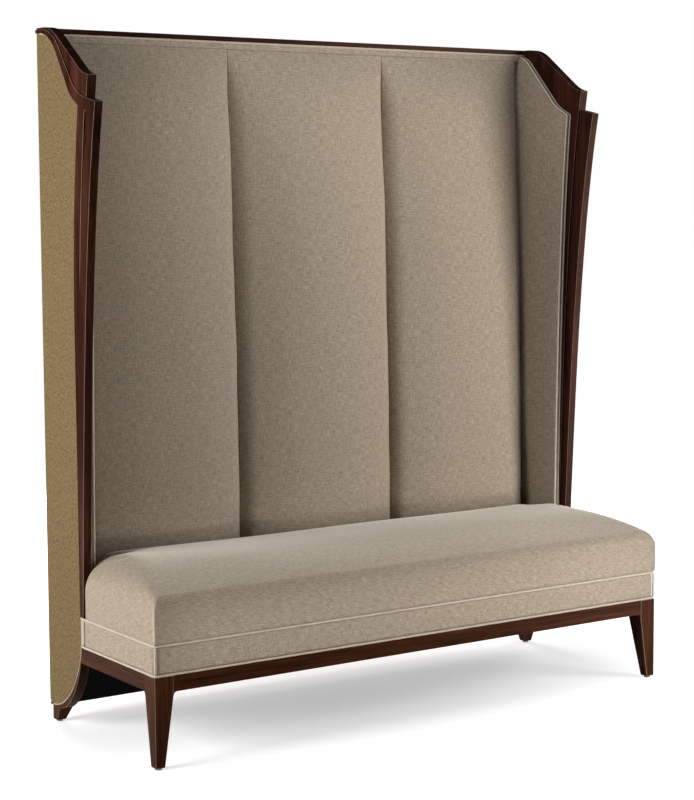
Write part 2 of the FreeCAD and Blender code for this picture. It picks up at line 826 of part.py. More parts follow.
def upright_welts():
    """Short piping at the boxing's front corners and, in pairs, at its ends by the wings."""
    low = boxing_bottom
    height = boxing_top - boxing_bottom
    corner = V(side_x - welt_radius, front_y + welt_radius, low)
    last = V(corner.x, wing_front_y - fit_gap - welt_radius, low)
    ends = [last - V(0, 2 * welt_radius * index, 0) for index in range(end_welts)]
    right = [Part.makeCylinder(welt_radius, height, place) for place in [corner, *ends]]
    return group(right + [mirrored(piece) for piece in right])


def seat_cushion():
    """Crowned tight seat: its front and end rolls cross, and it narrows between the wing pads."""
    rear = post_front_y - channel_layer - channel_depth - fit_gap
    wall_top = cushion_bottom + cushion_front_wall
    crown = V(-side_x, front_y + cushion_crown_place, seam_z + cushion_crown_rise)
    rear_top = V(-side_x, rear, seam_z + cushion_back_rise)

    def on_roll(angle):
        rise = cushion_roll * math.sin(angle)
        return V(-side_x, front_y + cushion_roll * (1 - math.cos(angle)), wall_top + rise)

    rolled = math.radians(cushion_roll_angle)
    roll_end = on_roll(rolled)
    front = [V(-side_x, front_y, cushion_bottom), V(-side_x, front_y, wall_top)]
    long_form = prism([
        line(front[0], front[1]),
        Part.Arc(front[1], on_roll(rolled / 2), roll_end).toShape(),
        Part.Arc(roll_end, crown, rear_top).toShape(),
        line(rear_top, V(-side_x, rear, cushion_bottom)),
        line(V(-side_x, rear, cushion_bottom), front[0]),
    ], V(2 * side_x, 0, 0))
    wall = V(side_x, front_y, cushion_bottom + cushion_end_wall)
    centre = wall - V(cushion_end_roll_run, 0, 0)
    top = centre + V(0, 0, cushion_end_roll_rise)
    foot = V(side_x, front_y, cushion_bottom)

    def across(point):
        return V(-point.x, point.y, point.z)

    def end_roll(*points):
        return Part.ArcOfEllipse(Part.Ellipse(*points), 0, math.pi / 2).toShape()

    end_form = prism([
        line(across(foot), foot),
        line(foot, wall),
        end_roll(wall, top, centre),
        line(top, across(top)),
        end_roll(across(wall), across(top), across(centre)),
        line(across(wall), across(foot)),
    ], V(0, rear - front_y, 0))
    shoulder_y = back_y - outer_sweep_foot - fin_lean_room
    wing_space = box((pad_face - fit_gap, side_x), (shoulder_y, rear), (cushion_bottom, overall_height))
    return long_form.common(end_form).cut([wing_space, mirrored(wing_space)])


def pairs(name, shape):
    """A piece of the right side and its mirror image, as two nodes."""
    return {f"right_{name}": shape, f"left_{name}": mirrored(shape)}


def build():
    """Every piece of the settee by its node name."""
    post_edge = wing_in - post_width
    half_post = post_width / 2
    channel_edge = pad_face - fit_gap
    seam = seam_reach - fit_gap
    stretcher = seat_stretcher(seam_reach)
    bolts = wing_bolts(0)
    dowels = [foot_dowel(0), top_dowel(0)]
    return {
        **pairs("front_leg", front_leg()),
        **pairs("rear_foot", rear_foot()),
        "glides": glides(),
        "front_rail": front_rail(),
        **pairs("side_rail", side_rail()),
        **pairs("wing_inner_board", inner_board()),
        **pairs("wing_outer_board", outer_board()),
        **pairs("outside_wing_panel", outside_panel()),
        **pairs("wing_pad", wing_pad()),
        "top_rail": top_rail(),
        **pairs("outer_back_post", outer_post()),
        **pairs("inner_back_post", inner_post(seam_reach)),
        "back_bottom_rail": back_bottom_rail(),
        **pairs("back_cross_rail", back_cross_rail((seam_reach + half_post, post_edge))),
        "middle_back_cross_rail": back_cross_rail((-seam_reach + half_post, seam_reach - half_post)),
        "outside_back_panel": outside_back_panel(),
        "lower_back_cover": lower_back_cover(),
        "back_webbing": back_webbing(),
        "back_hessian": back_hessian(),
        **pairs("back_channel", back_channel((seam_reach + fit_gap, channel_edge))),
        "middle_back_channel": back_channel((-seam, seam)),
        "seat_frame_front": seat_frame_front(),
        **pairs("seat_frame_side", seat_frame_side()),
        "seat_frame_rear": seat_frame_rear(),
        **pairs("seat_stretcher", stretcher),
        **pairs("front_corner_block", corner_block(frame_inner_y, 1)),
        **pairs("rear_corner_block", corner_block(frame_rear_y, -1)),
        "seat_webbing_deep": seat_webbing_deep(),
        "seat_webbing_wide": seat_webbing_wide(),
        "seat_hessian": seat_hessian(),
        "seat_cushion": seat_cushion(),
        "front_boxing": boxing_front(),
        **pairs("side_boxing", boxing_side()),
        "seat_seam_welt": seam_welt(seam_z),
        "rail_welt": seam_welt(rail_top + welt_radius),
        "upright_welts": upright_welts(),
        "dust_cover": dust_cover(),
        "wing_bolts": group(bolts + [mirrored(piece) for piece in bolts]),
        "frame_dowels": group(dowels + [mirrored(piece) for piece in dowels]),
    }


os.makedirs("parts", exist_ok=True)
for node, shape in build().items():
    shape.exportStep(f"parts/{node}.step")
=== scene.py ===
"""Looks of the high-back winged banquette settee: covers, piping, finishes, light and camera."""
import json
import math

import bmesh
import bpy
import numpy as np
from mathutils import Matrix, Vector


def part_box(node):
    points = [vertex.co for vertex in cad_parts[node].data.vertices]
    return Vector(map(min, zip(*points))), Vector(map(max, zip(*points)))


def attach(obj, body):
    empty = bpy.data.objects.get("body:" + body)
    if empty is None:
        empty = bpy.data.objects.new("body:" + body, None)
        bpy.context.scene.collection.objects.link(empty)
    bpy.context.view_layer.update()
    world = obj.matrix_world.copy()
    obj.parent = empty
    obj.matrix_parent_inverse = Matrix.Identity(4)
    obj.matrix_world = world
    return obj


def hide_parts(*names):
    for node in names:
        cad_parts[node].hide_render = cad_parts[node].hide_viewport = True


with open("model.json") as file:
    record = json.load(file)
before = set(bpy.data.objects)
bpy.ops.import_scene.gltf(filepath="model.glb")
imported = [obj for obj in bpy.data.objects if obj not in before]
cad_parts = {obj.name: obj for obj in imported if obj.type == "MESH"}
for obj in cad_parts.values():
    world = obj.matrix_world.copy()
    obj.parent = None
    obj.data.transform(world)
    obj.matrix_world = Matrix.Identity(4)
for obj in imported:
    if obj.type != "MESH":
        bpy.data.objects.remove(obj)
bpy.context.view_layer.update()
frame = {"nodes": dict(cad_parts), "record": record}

nodes = frame["nodes"]

# Planes of the settee, in metres, read from the solids
back_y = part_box("outside_back_panel")[1].y
front_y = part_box("front_boxing")[0].y
side_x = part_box("right_side_boxing")[1].x
wing_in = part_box("right_wing_inner_board")[0].x
wing_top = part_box("right_wing_inner_board")[1].z
wing_front_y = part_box("right_side_rail")[1].y
rail_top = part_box("front_rail")[1].z
seam_z = (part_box("seat_seam_welt")[0].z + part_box("seat_seam_welt")[1].z) / 2
deck_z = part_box("seat_cushion")[0].z
post_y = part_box("right_outer_back_post")[0].y
post_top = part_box("right_outer_back_post")[1].z
post_head_thickness = 0.012
post_head_y = back_y - post_head_thickness
channel_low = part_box("middle_back_channel")[0].z
seam_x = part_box("middle_back_channel")[1].x
channel_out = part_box("right_back_channel")[1].x

# Lean of the back: upright to this height, then one large arc
lean_start = 0.460
lean_radius = ((post_top - lean_start) ** 2 + (post_head_y - post_y) ** 2) / (2 * (post_head_y - post_y))
channel_layer = 0.0035

channel_fullness = 0.0695
seat_rear_y = post_y - channel_layer - channel_fullness

band_height, band_depth = 0.022, 0.012
band_z = post_top - band_height

# Radii of the piping
piping_radius = 0.0035
seat_piping_radius = piping_radius - 0.0005
upright_radius = 0.0028
seam_radius = 0.0026
panel_radius = 0.0024

sides = (("left", -1), ("right", 1))

# Points closer than this are one point
weld_distance = 0.00002


def lean_y(z):
    """Front line of the back posts: constant below lean_start, a circle tangent to it above."""
    rise = np.clip(z - lean_start, 0, None)
    return post_y + lean_radius - np.sqrt(lean_radius ** 2 - rise ** 2)


def smooth(x):
    """Cubic step from 0 to 1 with level ends."""
    t = np.clip(x, 0, 1)
    return t * t * (3 - 2 * t)


def quarter(x):
    """Quarter circle from 0 at 0 to 1 at 1, upright at its start."""
    t = np.clip(x, 0, 1)
    return np.sqrt(np.clip(1 - (1 - t) ** 2, 0, 1))


def ripple(*phases):
    """Slow, low, repeatable unevenness of stuffed cloth: a sum of unrelated sine waves."""
    total = 0
    for index, phase in enumerate(phases):
        total = total + np.sin(phase + 1.7 * index) / (index + 1)
    return total


def run_length(points):
    """Distance along each line of a grid of points, from its start."""
    step = np.linalg.norm(np.diff(points, axis=1), axis=2)
    return np.concatenate([np.zeros((len(points), 1)), np.cumsum(step, axis=1)], axis=1)


def grid_faces(points, first, loop, flip):
    """Quads between the rows of a grid of points, joined round when the columns form a loop, its ends closed."""
    rows, cols = points.shape[:2]
    index = first + np.arange(rows * cols).reshape(rows, cols)
    after = np.roll(index, -1, axis=1)
    if not loop:
        index, after = index[:, :-1], index[:, 1:]
    quads = np.stack([index[:-1], after[:-1], after[1:], index[1:]], axis=-1).reshape(-1, 4)
    faces = quads.tolist()
    if loop:
        faces += [index[0].tolist()[::-1], index[-1].tolist()]
    return [face[::-1] for face in faces] if flip else faces


def grid_mesh(name, *grids, loop=False, flip=False):
    """Object made of one or more grids, each a pair of points and cloth coordinates, welded where they meet."""
    faces, total = [], 0
    for points, _ in grids:
        faces += grid_faces(points, total, loop, flip)
        total += points.shape[0] * points.shape[1]
    place = np.concatenate([points.reshape(-1, 3) for points, _ in grids])
    cloth = np.concatenate([uv.reshape(-1, 2) for _, uv in grids])
    mesh = bpy.data.meshes.new(name)
    mesh.from_pydata(place.tolist(), [], faces)
    layer = mesh.uv_layers.new(name="cloth")
    corner = np.zeros(len(mesh.loops), np.int32)
    mesh.loops.foreach_get("vertex_index", corner)
    layer.data.foreach_set("uv", cloth[corner].astype(np.float32).ravel())
    work = bmesh.new()
    work.from_mesh(mesh)
    bmesh.ops.remove_doubles(work, verts=work.verts, dist=weld_distance)
    bmesh.ops.dissolve_degenerate(work, edges=work.edges, dist=weld_distance / 2)
    work.to_mesh(mesh)
    work.free()
    mesh.shade_smooth()
    piece = bpy.data.objects.new(name, mesh)
    bpy.context.scene.collection.objects.link(piece)
    return piece


def finish_piece(piece, material, stands_for=()):
    """Gives a piece its finish and its body, and hides the solids that it stands for."""
    piece.data.materials.clear()
    piece.data.materials.append(material)
    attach(piece, "root")
    if stands_for:
        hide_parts(*stands_for)
    return piece


def mirrored(points):
    """The same grid on the other side of the settee."""
    return points * np.array([-1.0, 1.0, 1.0])


def stuffed(piece, free, cap):
    """Cloth simulation of the stuffing: inner pressure swells the cover where it is free (1) and not where it is sewn
    or rests on the frame (0); a point moves no further than about the cap. The settled shape goes into the mesh."""
    weight_steps, settle_frames = 20, 12
    place = np.zeros(3 * len(piece.data.vertices))
    piece.data.vertices.foreach_get("co", place)
    place = place.reshape(-1, 3)
    steps = np.rint(weight_steps * (1 - free(*place.T))).astype(int)
    held = piece.vertex_groups.new(name="sewn")
    for step in np.unique(steps[steps > 0]).tolist():
        held.add(np.flatnonzero(steps == step).tolist(), step / weight_steps, "REPLACE")
    cloth = piece.modifiers.new("stuffing", "CLOTH")
    cloth.settings.quality = 3
    cloth.settings.tension_stiffness = cloth.settings.compression_stiffness = 40
    cloth.settings.bending_stiffness = 5
    cloth.settings.use_pressure = True
    cloth.settings.uniform_pressure_force = 4
    cloth.settings.vertex_group_mass = held.name
    cloth.settings.effector_weights.gravity = 0
    cloth.collision_settings.use_collision = False
    cloth.point_cache.frame_end = settle_frames
    for number in range(1, settle_frames + 1):
        bpy.context.scene.frame_set(number)
    settled = np.zeros(place.size)
    piece.evaluated_get(bpy.context.evaluated_depsgraph_get()).data.vertices.foreach_get("co", settled)
    move = settled.reshape(-1, 3) - place
    far = np.linalg.norm(move, axis=1, keepdims=True)
    move *= cap * np.tanh(far / cap) / np.maximum(far, 1e-9)
    piece.modifiers.remove(cloth)
    piece.vertex_groups.remove(held)
    bpy.context.scene.frame_set(1)
    piece.data.vertices.foreach_set("co", (place + move).ravel())
    piece.data.update()


# Materials


def material_nodes(name):
    """Empty node material with a Principled shader: returns material, nodes, a link function and the shader."""
    material = bpy.data.materials.new(name)
    material.use_nodes = True
    tree = material.node_tree
    shader = tree.nodes["Principled BSDF"]
    return material, tree.nodes, tree.links.new, shader


def stretched_noise(tree_nodes, link, coordinate, scale, detail, roughness=0.55):
    """Noise squeezed and stretched by a Mapping node, so that it runs along one direction."""
    mapping = tree_nodes.new("ShaderNodeMapping")
    mapping.inputs["Scale"].default_value = scale
    link(coordinate, mapping.inputs["Vector"])
    noise = tree_nodes.new("ShaderNodeTexNoise")
    noise.inputs["Scale"].default_value = 1.0
    noise.inputs["Detail"].default_value = detail
    noise.inputs["Roughness"].default_value = roughness
    link(mapping.outputs["Vector"], noise.inputs["Vector"])
    return noise.outputs["Fac"]


def combined(tree_nodes, link, operation, first, second):
    """Math node on two values, each a socket or a number."""
    node = tree_nodes.new("ShaderNodeMath")
    node.operation = operation
    for socket, value in zip(node.inputs, (first, second)):
        if isinstance(value, (int, float)):
            socket.default_value = value
        else:
            link(value, socket)
    return node.outputs["Value"]


def varied(tree_nodes, link, noise, middle, spread):
    """A value about a middle, moved by a noise from half a spread below it to half above."""
    moved = combined(tree_nodes, link, "MULTIPLY", noise, spread)
    return combined(tree_nodes, link, "ADD", moved, middle - spread / 2)


def colour_ramp(tree_nodes, link, factor, stops):
    """Colour ramp through (place, colour) stops."""
    ramp = tree_nodes.new("ShaderNodeValToRGB")
    elements = ramp.color_ramp.elements
    while len(elements) < len(stops):
        elements.new(0.5)
    for element, (place, colour) in zip(elements, stops):
        element.position = place
        element.color = (*colour, 1.0)
    link(factor, ramp.inputs["Fac"])
    return ramp.outputs["Color"]


def add_bump(tree_nodes, link, shader, height, strength, distance):
    """Fine relief from a height value."""
    bump = tree_nodes.new("ShaderNodeBump")
    bump.inputs["Strength"].default_value = strength
    bump.inputs["Distance"].default_value = distance
    link(height, bump.inputs["Height"])
    link(bump.outputs["Normal"], shader.inputs["Normal"])


def woven_cloth(name, dark, mid, light, thread, sheen, coordinate="UV", weft=0, warp=1, slub=7):
    """Woven cloth: fine slubs along both thread directions, a fine grain, thread relief and a velvety sheen."""
    material, tree_nodes, link, shader = material_nodes(name)
    place = tree_nodes.new("ShaderNodeTexCoord").outputs[coordinate]
    slubs = [stretched_noise(tree_nodes, link, place,
                             tuple(thread if axis == run else thread / slub for axis in range(3)), 2.0)
             for run in (weft, warp)]
    grain = stretched_noise(tree_nodes, link, place, (1.2 * thread, 1.2 * thread, 1.2 * thread), 3.0, 0.7)
    threads = combined(tree_nodes, link, "MULTIPLY", combined(tree_nodes, link, "ADD", *slubs), 0.25)
    tone = combined(tree_nodes, link, "ADD", threads, combined(tree_nodes, link, "MULTIPLY", grain, 0.5))
    colour = colour_ramp(tree_nodes, link, tone, [(0.36, dark), (0.50, mid), (0.64, light)])
    link(colour, shader.inputs["Base Color"])
    link(varied(tree_nodes, link, grain, 0.9, 0.15), shader.inputs["Roughness"])
    shader.inputs["Specular IOR Level"].default_value = 0.1
    shader.inputs["Sheen Weight"].default_value = sheen
    shader.inputs["Sheen Roughness"].default_value = 0.4
    shader.inputs["Sheen Tint"].default_value = (1.0, 0.92, 0.82, 1.0)
    add_bump(tree_nodes, link, shader, tone, 0.35, 0.0012)
    return material


def polished_wood(name, grain, dark, mid, light, roughness, shine):
    """Wood with long grain streaks and fine pores along one direction, under a thin coat."""
    material, tree_nodes, link, shader = material_nodes(name)
    place = tree_nodes.new("ShaderNodeTexCoord").outputs["Object"]
    streaks = stretched_noise(tree_nodes, link, place, tuple(6.0 if g else 130.0 for g in grain), 4.0, 0.6)
    bands = stretched_noise(tree_nodes, link, place, tuple(1.6 if g else 24.0 for g in grain), 2.0)
    pores = stretched_noise(tree_nodes, link, place, tuple(30.0 if g else 900.0 for g in grain), 2.0)
    tone = combined(tree_nodes, link, "ADD", combined(tree_nodes, link, "MULTIPLY", streaks, 0.5),
                    combined(tree_nodes, link, "MULTIPLY", bands, 0.5))
    colour = colour_ramp(tree_nodes, link, tone, [(0.34, dark), (0.50, mid), (0.68, light)])
    link(colour, shader.inputs["Base Color"])
    link(varied(tree_nodes, link, streaks, roughness, 0.12), shader.inputs["Roughness"])
    shader.inputs["Specular IOR Level"].default_value = shine
    shader.inputs["Specular Tint"].default_value = (1.0, 0.52, 0.34, 1.0)
    shader.inputs["Coat Weight"].default_value = shine / 8
    shader.inputs["Coat Roughness"].default_value = 0.25
    add_bump(tree_nodes, link, shader, pores, 0.12, 0.0004)
    return material


def scuffed_steel(name):
    """Bright steel: fine scuffs vary its tone and its roughness."""
    material, tree_nodes, link, shader = material_nodes(name)
    place = tree_nodes.new("ShaderNodeTexCoord").outputs["Object"]
    scuffs = stretched_noise(tree_nodes, link, place, (200.0, 200.0, 900.0), 3.0)
    link(colour_ramp(tree_nodes, link, scuffs, [(0.3, (0.34, 0.34, 0.35)), (0.7, (0.50, 0.50, 0.51))]),
         shader.inputs["Base Color"])
    link(varied(tree_nodes, link, scuffs, 0.35, 0.25), shader.inputs["Roughness"])
    shader.inputs["Metallic"].default_value = 1.0
    return material


def tones(colour, spread):
    """Dark, middle and light version of a colour."""
    return [tuple(share * channel for channel in colour) for share in (1 - spread, 1, 1 + spread)]


taupe = woven_cloth("taupe_velvet", *tones((0.360, 0.294, 0.222), 0.58), 330.0, 0.8)
gold = woven_cloth("gold_weave", *tones((0.166, 0.113, 0.052), 0.90), 560.0, 0.1, "Object", 1, 1, 4)
gold_edge = woven_cloth("gold_piping", *tones((0.44, 0.36, 0.24), 0.25), 400.0, 0.4)
piping_cloth = woven_cloth("light_piping", *tones((0.57, 0.49, 0.395), 0.20), 400.0, 0.5)
# Wing pad cords: the taupe cloth made much lighter, painted sheen and painted light on the pad's front band
painted_sheen_cord = woven_cloth("double_cord_painted_sheen", *tones((0.74, 0.66, 0.54), 0.18), 400.0, 0.5)
black_cloth = woven_cloth("black_lining", *tones((0.006, 0.0055, 0.0055), 0.3), 300.0, 0.0, "Object")
jute = woven_cloth("jute_webbing", *tones((0.30, 0.22, 0.12), 0.4), 400.0, 0.0, "Object")
# The wing boards and top rail take a darker copy of the leg wood: painted shade for parts that stand in shade
shaded_wing_tones = ((0.011, 0.0034, 0.0021), (0.034, 0.0106, 0.0064), (0.074, 0.0245, 0.0145))
base_tones = ((0.019, 0.0055, 0.0022), (0.050, 0.0155, 0.0062), (0.098, 0.0335, 0.0140))
wing_wood = polished_wood("dark_wood_wing", (0, 0, 1), *shaded_wing_tones, 0.32, 0.06)
top_wood = polished_wood("dark_wood_top", (1, 0, 0), *shaded_wing_tones, 0.32, 0.06)
leg_wood = polished_wood("dark_wood_leg", (0, 0, 1), *base_tones, 0.32, 0.06)
long_wood = polished_wood("dark_wood_long", (1, 0, 0), *base_tones, 0.32, 0.06)
deep_wood = polished_wood("dark_wood_deep", (0, 1, 0), *base_tones, 0.32, 0.06)
# Light brown, shiny wood for the eased arrises: a painted highlight
arris_highlight_wood = polished_wood("dark_wood_painted_arris_highlight", (0, 0, 1), *tones((0.26, 0.19, 0.145), 0.3), 0.30, 0.50)
sawn_tones = ((0.30, 0.19, 0.10), (0.42, 0.29, 0.16), (0.54, 0.40, 0.25))
sawn_wood = polished_wood("sawn_hardwood", (1, 0, 0), *sawn_tones, 0.7, 0.1)
steel = scuffed_steel("bright_steel")

slot_finish = {
    "dark_wood": leg_wood, "gold_weave": gold, "taupe_weave": taupe, "light_piping": piping_cloth,
    "jute_webbing": jute, "hessian": jute, "black_cloth": black_cloth, "steel": steel, "frame_wood": sawn_wood,
}
wood_run = {"front_rail": long_wood, "top_rail": top_wood}
for side_name, _ in sides:
    wood_run[f"{side_name}_side_rail"] = deep_wood
    wood_run[f"{side_name}_wing_inner_board"] = wood_run[f"{side_name}_wing_outer_board"] = wing_wood
node_slot = {row["node"]: row["material_slot"] for row in frame["record"]["subparts"]}
for node_name, node in nodes.items():
    node.data.materials.clear()
    node.data.materials.append(wood_run.get(node_name, slot_finish[node_slot[node_name]]))

# Rounded arrises on the show wood: the loose triangles are joined, then every sharp edge is eased and takes a light,
# shiny wood, a painted highlight along each arris
for node_name, node in nodes.items():
    if node_slot[node_name] == "dark_wood":
        node.data.materials.append(arris_highlight_wood)
        weld = node.modifiers.new("join", "WELD")
        weld.merge_threshold = weld_distance
        ease = node.modifiers.new("arris", "BEVEL")
        ease.width = 0.0020
        ease.segments = 2
        ease.material = 1
        ease.limit_method = "ANGLE"
        ease.angle_limit = math.radians(40)
        flat = node.modifiers.new("faces", "WEIGHTED_NORMAL")
        flat.weight = 100


# Covers


def channel_cover(x_low, x_high, phase):
    """Back channel. Across: a wide crown arc, a roll and a tight turn into the seam on each side, all run by the
    angle that they have turned. Up: the lean of the back; towards the top band the depth sinks as a parabola. The
    flat rear closes the loop."""
    half, middle = (x_high - x_low) / 2, (x_high + x_low) / 2
    crown, roll, tuck, full = 0.800, 0.085, 0.028, 0.0660
    sink_run, fine_run, uneven = 0.22, 0.24, 0.0010
    bend, flank = math.radians(50), math.radians(76)
    turn = math.asin((half - roll * math.sin(bend) - tuck * (math.sin(flank) - math.sin(bend))) / (crown - roll))
    right = np.concatenate([np.linspace(0, turn, 26), np.linspace(turn, bend, 18)[1:],
                            np.linspace(bend, flank, 9)[1:]])
    angle = np.concatenate([-right[::-1][:-1], right])
    past = np.abs(angle)
    wide, rolled = np.minimum(past, turn), np.clip(past, turn, bend)
    tucked = np.maximum(past, bend)
    offset = np.sign(angle) * (crown * np.sin(wide) + roll * (np.sin(rolled) - math.sin(turn))
                               + tuck * (np.sin(tucked) - math.sin(bend)))
    depth = (full - crown * (1 - np.cos(wide)) - roll * (math.cos(turn) - np.cos(rolled))
             - tuck * (math.cos(bend) - np.cos(tucked)))
    fine_z = band_z - fine_run
    levels = np.concatenate([np.linspace(channel_low, fine_z, 110), np.linspace(fine_z, band_z, 60)[1:]])
    z = np.broadcast_to(levels[:, None], (len(levels), len(offset)))
    sunk = 1 - (1 - np.clip((band_z - z) / sink_run, 0, 1)) ** 2
    full_depth = band_depth + (depth[None, :] - band_depth) * sunk
    full_depth = full_depth + uneven * sunk * ripple(9 * z + phase, 14 * offset[None, :] + 5 * z, 23 * z + phase)
    x = middle + offset[None, :] + uneven * sunk * ripple(13 * z + phase, 31 * z) * (offset / half)[None, :] ** 2
    front = np.stack([x, lean_y(z) - channel_layer - full_depth, z], axis=-1)
    rear_x = np.broadcast_to(middle + np.linspace(half, -half, 12), (len(levels), 12))
    rear_z = np.broadcast_to(levels[:, None], rear_x.shape)
    rear = np.stack([rear_x, lean_y(rear_z) - channel_layer, rear_z], axis=-1)
    points = np.concatenate([front, rear], axis=1)
    return points, np.stack([run_length(points), points[..., 2]], axis=-1)


def channel_free(x, y, z):
    """How freely a channel's cover moves: fully on the crown, not at the seams, the foot and the top band."""
    depth = lean_y(z) - channel_layer - y
    return smooth((depth - 0.02) / 0.03) * smooth((z - channel_low - 0.02) / 0.06) * smooth((band_z - z) / 0.15)


channels = [("left_channel", -channel_out, -seam_x - 0.0006, 0.4, "left_back_channel"),
            ("middle_channel", -seam_x, seam_x, 2.1, "middle_back_channel"),
            ("right_channel", seam_x + 0.0006, channel_out, 3.7, "right_back_channel")]
for name, low, high, phase, node_name in channels:
    piece = grid_mesh(name, channel_cover(low, high, phase), loop=True)
    stuffed(piece, channel_free, 0.004)
    finish_piece(piece, taupe, [node_name])


def top_band_cover():
    """Flush band above the channels: a low pillow in section, carried straight across between the wings."""
    x = np.linspace(-wing_in + 0.001, wing_in - 0.001, 60)
    up = np.linspace(0, math.pi, 13)
    z = band_z + 0.0006 + (post_top - 0.0005 - band_z) * (1 - np.cos(up)) / 2
    depth = band_depth - 0.0022 + 0.0030 * np.sqrt(np.sin(up))
    front = np.column_stack([lean_y(z) - channel_layer - depth, z])
    rear = np.column_stack([lean_y(z) - channel_layer, z])[::-1]
    section = np.concatenate([front, rear])
    points = np.zeros((len(x), len(section), 3))
    points[..., 0] = x[:, None]
    points[..., 1:] = section[None]
    return points, np.stack([points[..., 0], run_length(points)], axis=-1)


finish_piece(grid_mesh("top_band", top_band_cover(), loop=True, flip=True), taupe)


def bezier_line(poles, count):
    """Cubic curve through its end poles, drawn towards the two between."""
    t = np.linspace(0, 1, count)[:, None]
    a, b, c, d = np.asarray(poles, float)
    return (1 - t) ** 3 * a + 3 * (1 - t) ** 2 * t * b + 3 * (1 - t) * t ** 2 * c + t ** 3 * d


def ogee_line(start, end, angle, crown, nose, nose_angle):
    """Round crown, straight fall, hollow sweep and straight nose, each tangent to the next, as (reach, height)."""
    steep, flat = math.radians(angle), math.radians(nose_angle)
    nose_z = end[1] + nose * math.tan(flat)
    span = end[0] - nose - start[0] - crown * math.sin(steep)
    fall = start[1] - nose_z - crown * (1 - math.cos(steep))
    hollow_span, hollow_fall = math.sin(steep) - math.sin(flat), math.cos(flat) - math.cos(steep)
    scale = math.cos(steep) * hollow_fall - math.sin(steep) * hollow_span
    hollow = (fall * math.cos(steep) - span * math.sin(steep)) / scale
    bend = np.linspace(0, steep, 30)
    round_part = np.stack([start[0] + crown * np.sin(bend), start[1] - crown * (1 - np.cos(bend))], axis=1)
    sweep = np.linspace(steep, flat, 30)
    hollow_part = np.stack([end[0] - nose - hollow * (np.sin(sweep) - math.sin(flat)),
                            nose_z + hollow * (math.cos(flat) - np.cos(sweep))], axis=1)
    nose_part = np.linspace([end[0] - nose, nose_z], end, 12)[1:]
    return np.concatenate([round_part, hollow_part, nose_part])


pad_corner = (0.253, wing_top - 0.209)
pad_fall = pad_corner[1] - deck_z
pad_top = ogee_line((0.006, wing_top - 0.020), pad_corner, 46, 0.085, 0.040, 27)
pad_front = bezier_line([pad_corner, (0.218, pad_corner[1] - 0.27 * pad_fall),
                         (0.211, pad_corner[1] - 0.66 * pad_fall), (0.203, deck_z)], 90)
pad_edge = np.concatenate([pad_front[::-1], pad_top[::-1][1:]])


def spaced(line, count):
    """Points at even distances along a line."""
    run = np.concatenate([[0], np.cumsum(np.linalg.norm(np.diff(line, axis=0), axis=1))])
    place = np.linspace(0, run[-1], count)
    return np.stack([np.interp(place, run, line[:, k]) for k in range(line.shape[1])], axis=1)


def wing_pad_cover():
    """Right inside wing pad: levels follow its front and ogee edge; from that edge a short upright band, a small
    round and a low crown that grows with the distance from the edge; the flat rear lies on the wing board."""
    edge = spaced(pad_edge, 260)
    z_levels = edge[:, 1]
    front_reach = edge[:, 0]
    rear_reach = back_y - (lean_y(z_levels) - channel_layer - 0.001)
    rear_reach = np.minimum(rear_reach, front_reach - 0.002)
    share = np.concatenate([np.linspace(0, 0.12, 8), np.linspace(0.12, 1, 34)[1:]])
    reach = front_reach[:, None] + (rear_reach - front_reach)[:, None] * share[None, :]
    z = np.broadcast_to(z_levels[:, None], reach.shape)
    fine = spaced(pad_edge, 700)
    gap = np.sqrt((reach[..., None] - fine[:, 0]) ** 2 + (z[..., None] - fine[:, 1]) ** 2).min(axis=-1)
    band, round_off = 0.016, 0.005
    crown = 0.018 + 0.012 * smooth((z - 0.50) / 0.35)
    thick = band + round_off * quarter(gap / round_off) + crown * smooth(gap / 0.12)
    thick = thick + 0.0008 * ripple(11 * z, 25 * reach + 7 * z)
    face = np.stack([wing_in - thick, back_y - reach, z], axis=-1)
    bed = np.stack([np.full_like(reach, wing_in - 0.0004), back_y - reach, z], axis=-1)[:, ::-1]
    points = np.concatenate([face, bed], axis=1)
    return points, np.stack([points[..., 1] + points[..., 0], points[..., 2]], axis=-1)


pad_points, pad_uv = wing_pad_cover()
finish_piece(grid_mesh("right_pad_cover", (pad_points, pad_uv), loop=True, flip=True), taupe,
             ["right_wing_pad"])
finish_piece(grid_mesh("left_pad_cover", (mirrored(pad_points), pad_uv), loop=True), taupe,
             ["left_wing_pad"])


